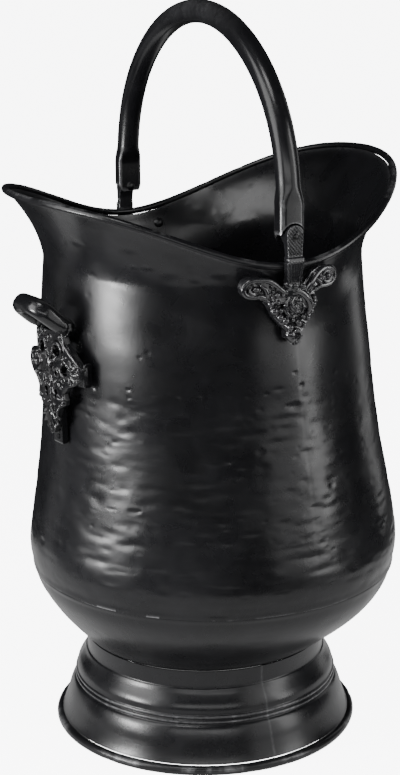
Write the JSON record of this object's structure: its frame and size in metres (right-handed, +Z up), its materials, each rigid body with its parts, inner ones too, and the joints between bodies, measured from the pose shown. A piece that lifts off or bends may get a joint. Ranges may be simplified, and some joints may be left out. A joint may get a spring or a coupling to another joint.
{
  "type": "coal scuttle",
  "caption": "Footed, black-painted coal scuttle with a flared saddle-shaped mouth, swinging bail, ornate cast ears and a pierced cast rear handle for tipping.",
  "frame": {"origin": "centre of the round foot, in the plane it stands on; the middle of the overall box lies 3.2 mm behind it, towards the rear handle", "axes": "+Z up; +X towards the pouring lip, away from the rear handle; the bail's hinge line is parallel to Y"},
  "size_m": [0.3255, 0.302, 0.5895],
  "materials": {
    "body_sheet": "satin",
    "foot_sheet": "satin",
    "castings": "satin",
    "rivets": "satin",
    "bail_tube": "satin"
  },
  "bodies": {
    "vessel": {"barrel": "body_sheet", "bowl": "body_sheet", "rim_wire": "body_sheet", "foot_ring": "foot_sheet", "foot_hem": "foot_sheet", "ear_near": "castings", "ear_far": "castings", "ear_rivets_near": "rivets", "ear_rivets_far": "rivets", "rear_plate": "castings", "rear_grip": "castings", "rear_rivets": "rivets", "grip_rivets": "rivets"},
    "bail": {"bail": "bail_tube", "pin_near": "rivets", "pin_far": "rivets"}
  },
  "joints": [
    {"name": "bail_swing", "type": "hinge", "parent": "vessel", "child": "bail", "pos_m": [0, 0, 0.4283], "axis": [0, 1, 0], "range_deg": [-48, 48]}
  ]
}
